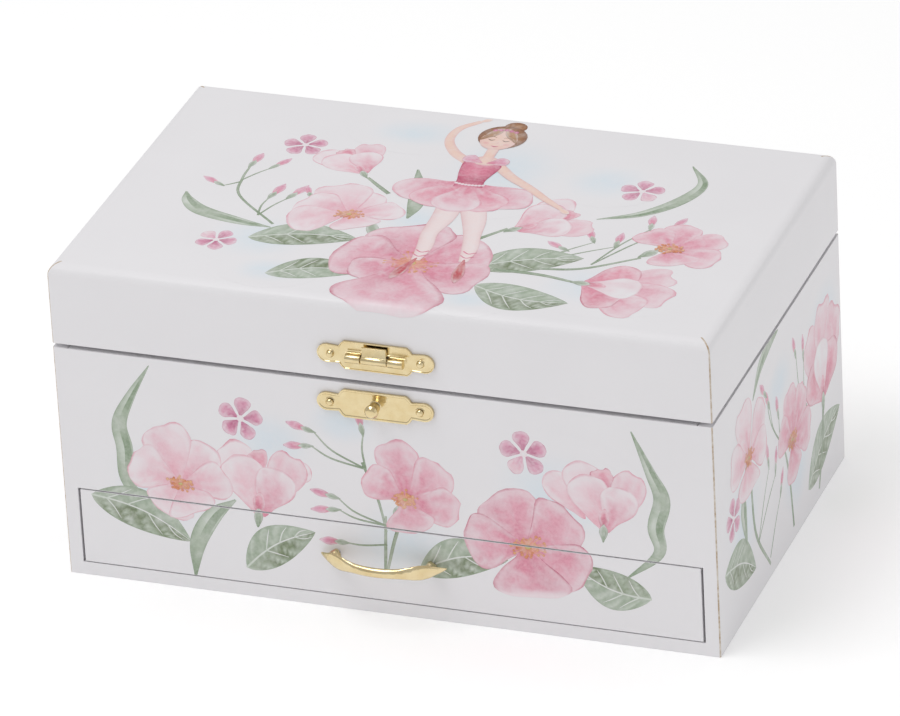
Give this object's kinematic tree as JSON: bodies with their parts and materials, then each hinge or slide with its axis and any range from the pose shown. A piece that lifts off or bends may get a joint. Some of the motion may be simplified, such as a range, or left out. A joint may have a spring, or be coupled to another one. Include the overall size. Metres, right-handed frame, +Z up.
{
  "type": "musical jewellery box",
  "caption": "Paper-covered wooden jewellery box with hinged mirrored lid, brass clasp, lined tray, front drawer, wind-up cylinder movement and a turning dancer.",
  "frame": {"origin": "middle of the underside, on the surface the box stands on", "axes": "+X to the right along the front, +Y from the front to the back, +Z up"},
  "size_m": [0.19, 0.1436, 0.0964],
  "materials": {
    "printed_paper": "satin printed paper wrapped over thin board",
    "bare_wood": "plain, unfinished",
    "polished_brass": "polished, brass plated",
    "movement_brass": "satin",
    "steel": "satin",
    "mirror": "silvered",
    "velvet": "short pile",
    "figure_plastic": "painted",
    "tulle": "fine net"
  },
  "bodies": {
    "root": {"base_panel": "printed_paper", "side_panel_left": "printed_paper", "side_panel_right": "printed_paper", "back_panel": "printed_paper", "front_panel": "printed_paper", "shelf_panel": "bare_wood", "tray_lining_left": "velvet", "tray_lining_front": "velvet", "tray_divider_long": "velvet", "tray_divider_left": "velvet", "ring_cushion": "velvet", "stage_board": "velvet", "movement_cover": "velvet", "hinge_leaf_body_left": "polished_brass", "hinge_leaf_body_right": "polished_brass", "clasp_lower_plate": "polished_brass", "clasp_stud": "polished_brass", "clasp_lower_nail_left": "polished_brass", "clasp_lower_nail_right": "polished_brass", "movement_bedplate": "movement_brass", "cylinder_bracket_left": "movement_brass", "cylinder_bracket_right": "movement_brass", "spring_housing": "movement_brass", "mainspring": "steel", "comb": "steel", "comb_block": "movement_brass", "comb_screw": "steel", "governor_yoke": "movement_brass"},
    "lid": {"lid_top_panel": "printed_paper", "lid_wall_frame": "printed_paper", "lid_mirror": "mirror", "hinge_leaf_lid_left": "polished_brass", "hinge_leaf_lid_right": "polished_brass", "clasp_upper_plate": "polished_brass", "clasp_pin": "polished_brass", "clasp_upper_nail_left": "polished_brass", "clasp_upper_nail_right": "polished_brass"},
    "clasp_tab": {"clasp_tab": "polished_brass"},
    "drawer": {"drawer_front": "printed_paper", "drawer_bottom": "bare_wood", "drawer_side_left": "bare_wood", "drawer_side_right": "bare_wood", "drawer_back": "bare_wood", "drawer_lining": "velvet", "drawer_pull": "polished_brass", "pull_screw_left": "steel", "pull_screw_right": "steel"},
    "winding": {"great_wheel": "movement_brass", "winding_arbor": "steel", "winding_key": "polished_brass"},
    "cylinder": {"music_cylinder": "movement_brass", "cylinder_arbor": "steel", "figure_drive_gear": "movement_brass"},
    "dancer": {"figure_wheel": "movement_brass", "figure_stand": "movement_brass", "ballerina_figure": "figure_plastic", "tutu": "tulle"},
    "governor": {"governor_wheel": "steel"},
    "fly": {"fly": "steel"},
    "stop_pin": {"stop_pin": "steel"}
  },
  "joints": [
    {"name": "lid_hinge", "type": "hinge", "parent": "root", "child": "lid", "pos_m": [0, 0.0599, 0.07185], "axis": [-1, 0, 0], "range_deg": [0, 100]},
    {"name": "clasp_tab_hinge", "type": "hinge", "parent": "lid", "child": "clasp_tab", "pos_m": [0, -0.0601, 0.0799], "axis": [1, 0, 0], "range_deg": [0, 170]},
    {"name": "drawer_slide", "type": "slide", "parent": "root", "child": "drawer", "axis": [0, -1, 0], "range_m": [0, 0.085]},
    {"name": "winding_turn", "type": "hinge", "parent": "root", "child": "winding", "pos_m": [0.0459, 0.0439, 0.044], "axis": [0, 1, 0], "continuous": true},
    {"name": "cylinder_turn", "type": "hinge", "parent": "root", "child": "cylinder", "pos_m": [0.0369, 0.04025, 0.044], "axis": [1, 0, 0], "continuous": true},
    {"name": "dancer_turn", "type": "hinge", "parent": "root", "child": "dancer", "pos_m": [0, 0.04025, 0.042], "axis": [0, 0, 1], "continuous": true},
    {"name": "governor_turn", "type": "hinge", "parent": "root", "child": "governor", "pos_m": [0.0549, 0.04025, 0.044], "axis": [1, 0, 0], "continuous": true},
    {"name": "fly_turn", "type": "hinge", "parent": "root", "child": "fly", "pos_m": [0.0644, 0.03025, 0.044], "axis": [1, 0, 0], "continuous": true},
    {"name": "stop_pin_slide", "type": "slide", "parent": "root", "child": "stop_pin", "axis": [0, 0, 1], "range_m": [0, 0.0025]}
  ],
  "couplings": [
    {"joint": "cylinder_turn", "follows": "winding_turn", "ratio": 3},
    {"joint": "dancer_turn", "follows": "winding_turn", "ratio": 1.5},
    {"joint": "governor_turn", "follows": "winding_turn", "ratio": -3},
    {"joint": "fly_turn", "follows": "winding_turn", "ratio": 12},
    {"joint": "stop_pin_slide", "follows": "lid_hinge", "m_per_rad": 0.00143}
  ]
}
